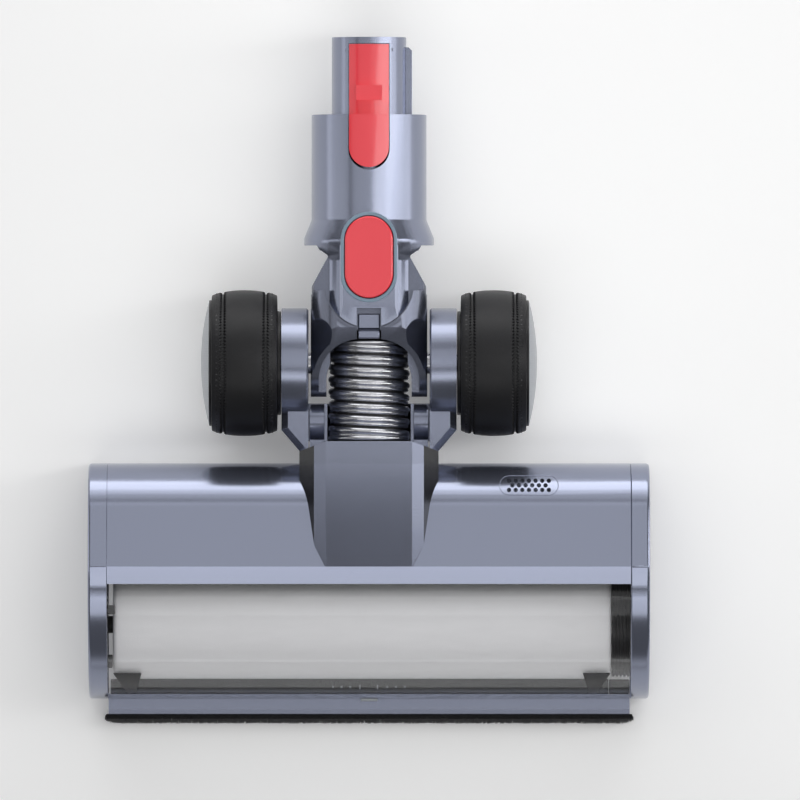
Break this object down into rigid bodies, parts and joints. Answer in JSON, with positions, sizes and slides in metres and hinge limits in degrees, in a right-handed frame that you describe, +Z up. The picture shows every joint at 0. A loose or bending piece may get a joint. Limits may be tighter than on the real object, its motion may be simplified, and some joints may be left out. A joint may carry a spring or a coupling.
{
  "type": "vacuum floor brush head",
  "caption": "Powered vacuum floor head with a soft roller behind a clear window, rear wheels, tilting and steering neck, coil hose and latching wand spigot.",
  "frame": {"origin": "centre of the footprint, on the floor under the head", "axes": "+Y back along the neck towards the wand spigot, +Z up, +X to the right across the head"},
  "size_m": [0.2582, 0.317, 0.0672],
  "materials": {
    "casing_plastic": "gunmetal grey, glossy",
    "neck_plastic": "gunmetal grey, glossy",
    "clear_plastic": "clear moulded plastic",
    "black_plastic": "satin black",
    "bristle": "dense black bristle",
    "felt": "black felt",
    "pile": "short pale grey pile",
    "steel": "bright steel",
    "brass": "machined",
    "board": "green circuit board",
    "hose_coil": "dark metallic coil",
    "tyre_rubber": "satin black rubber",
    "black_rubber": "black rubber",
    "hub_silver": "silver grey, satin",
    "bezel_plastic": "pale blue grey, glossy",
    "red_plastic": "glossy red"
  },
  "bodies": {
    "head": {"top_cover": "casing_plastic", "vent_grille": "casing_plastic", "clear_window": "clear_plastic", "front_bumper": "casing_plastic", "front_bristle_strip": "bristle", "window_inner_rail": "black_plastic", "base_plate": "casing_plastic", "base_screws": "steel", "rear_felt_strip": "felt", "roller_chamber_wall": "black_plastic", "inlet_duct": "black_plastic", "inlet_block": "casing_plastic", "wheel_carrier": "neck_plastic", "hose_front_cuff": "black_plastic", "coil_hose": "hose_coil", "end_cap_left": "casing_plastic", "end_cap_right": "casing_plastic", "roller_end_bearing": "steel", "motor_mount_ring": "black_plastic", "motor_can": "steel", "gearbox": "black_plastic", "roller_support_bearing": "brass", "control_board": "board", "axle_left": "steel", "axle_right": "steel", "axle_clips": "steel"},
    "end_lock": {"end_lock_dial": "black_plastic"},
    "roller": {"roller_core": "black_plastic", "roller_sleeve": "pile", "roller_end_bung": "black_plastic", "roller_drive_hub": "black_plastic", "gearbox_output_shaft": "steel"},
    "wheel_left": {"tyre_left": "tyre_rubber", "wheel_rim_left": "black_plastic", "wheel_bush_left": "brass", "wheel_shield_left": "black_rubber", "hub_ring_left": "black_rubber", "hub_cap_left": "hub_silver"},
    "wheel_right": {"tyre_right": "tyre_rubber", "wheel_rim_right": "black_plastic", "wheel_bush_right": "brass", "wheel_shield_right": "black_rubber", "hub_ring_right": "black_rubber", "hub_cap_right": "hub_silver"},
    "yoke": {"yoke_body": "neck_plastic", "steering_tongue": "neck_plastic", "hose_rear_cuff": "black_plastic", "swivel_gaiter": "black_rubber"},
    "neck": {"neck_body": "neck_plastic", "steering_pins": "steel", "collar_sleeve": "neck_plastic", "spigot_tube": "neck_plastic", "button_bezel": "bezel_plastic", "button_spring": "steel", "latch_pin": "steel", "latch_spring": "steel", "plug_housing": "neck_plastic", "contact_pins": "brass"},
    "button": {"oval_button": "red_plastic"},
    "latch": {"release_lever": "red_plastic"}
  },
  "joints": [
    {"name": "roller_spin", "type": "hinge", "parent": "head", "child": "roller", "pos_m": [0, -0.11201, 0.026], "axis": [1, 0, 0], "continuous": true},
    {"name": "wheel_left_spin", "type": "hinge", "parent": "head", "child": "wheel_left", "pos_m": [-0.05735, 0.00849, 0.0336], "axis": [1, 0, 0], "continuous": true},
    {"name": "wheel_right_spin", "type": "hinge", "parent": "head", "child": "wheel_right", "pos_m": [0.05735, 0.00849, 0.0336], "axis": [1, 0, 0], "continuous": true},
    {"name": "neck_pitch", "type": "hinge", "parent": "head", "child": "yoke", "pos_m": [0, 0.00849, 0.0336], "axis": [1, 0, 0], "range_deg": [0, 90], "deforming": ["coil_hose"]},
    {"name": "neck_steer", "type": "hinge", "parent": "yoke", "child": "neck", "pos_m": [0, 0.04484, 0.0336], "axis": [0, 0, 1], "range_deg": [-35, 35], "deforming": ["swivel_gaiter"]},
    {"name": "button_press", "type": "slide", "parent": "neck", "child": "button", "axis": [0, 0, -1], "range_m": [0, 0.002], "stiffness_N_per_m": 400, "springref_m": -0.001, "deforming": ["button_spring"]},
    {"name": "latch_press", "type": "hinge", "parent": "neck", "child": "latch", "pos_m": [0, 0.15279, 0.0462], "axis": [1, 0, 0], "range_deg": [0, 3.5], "stiffness_Nm_per_rad": 2, "springref_deg": -1.72, "deforming": ["latch_spring"]},
    {"name": "end_lock_turn", "type": "hinge", "parent": "head", "child": "end_lock", "pos_m": [-0.1281, -0.11201, 0.026], "axis": [1, 0, 0], "range_deg": [0, 90]}
  ]
}
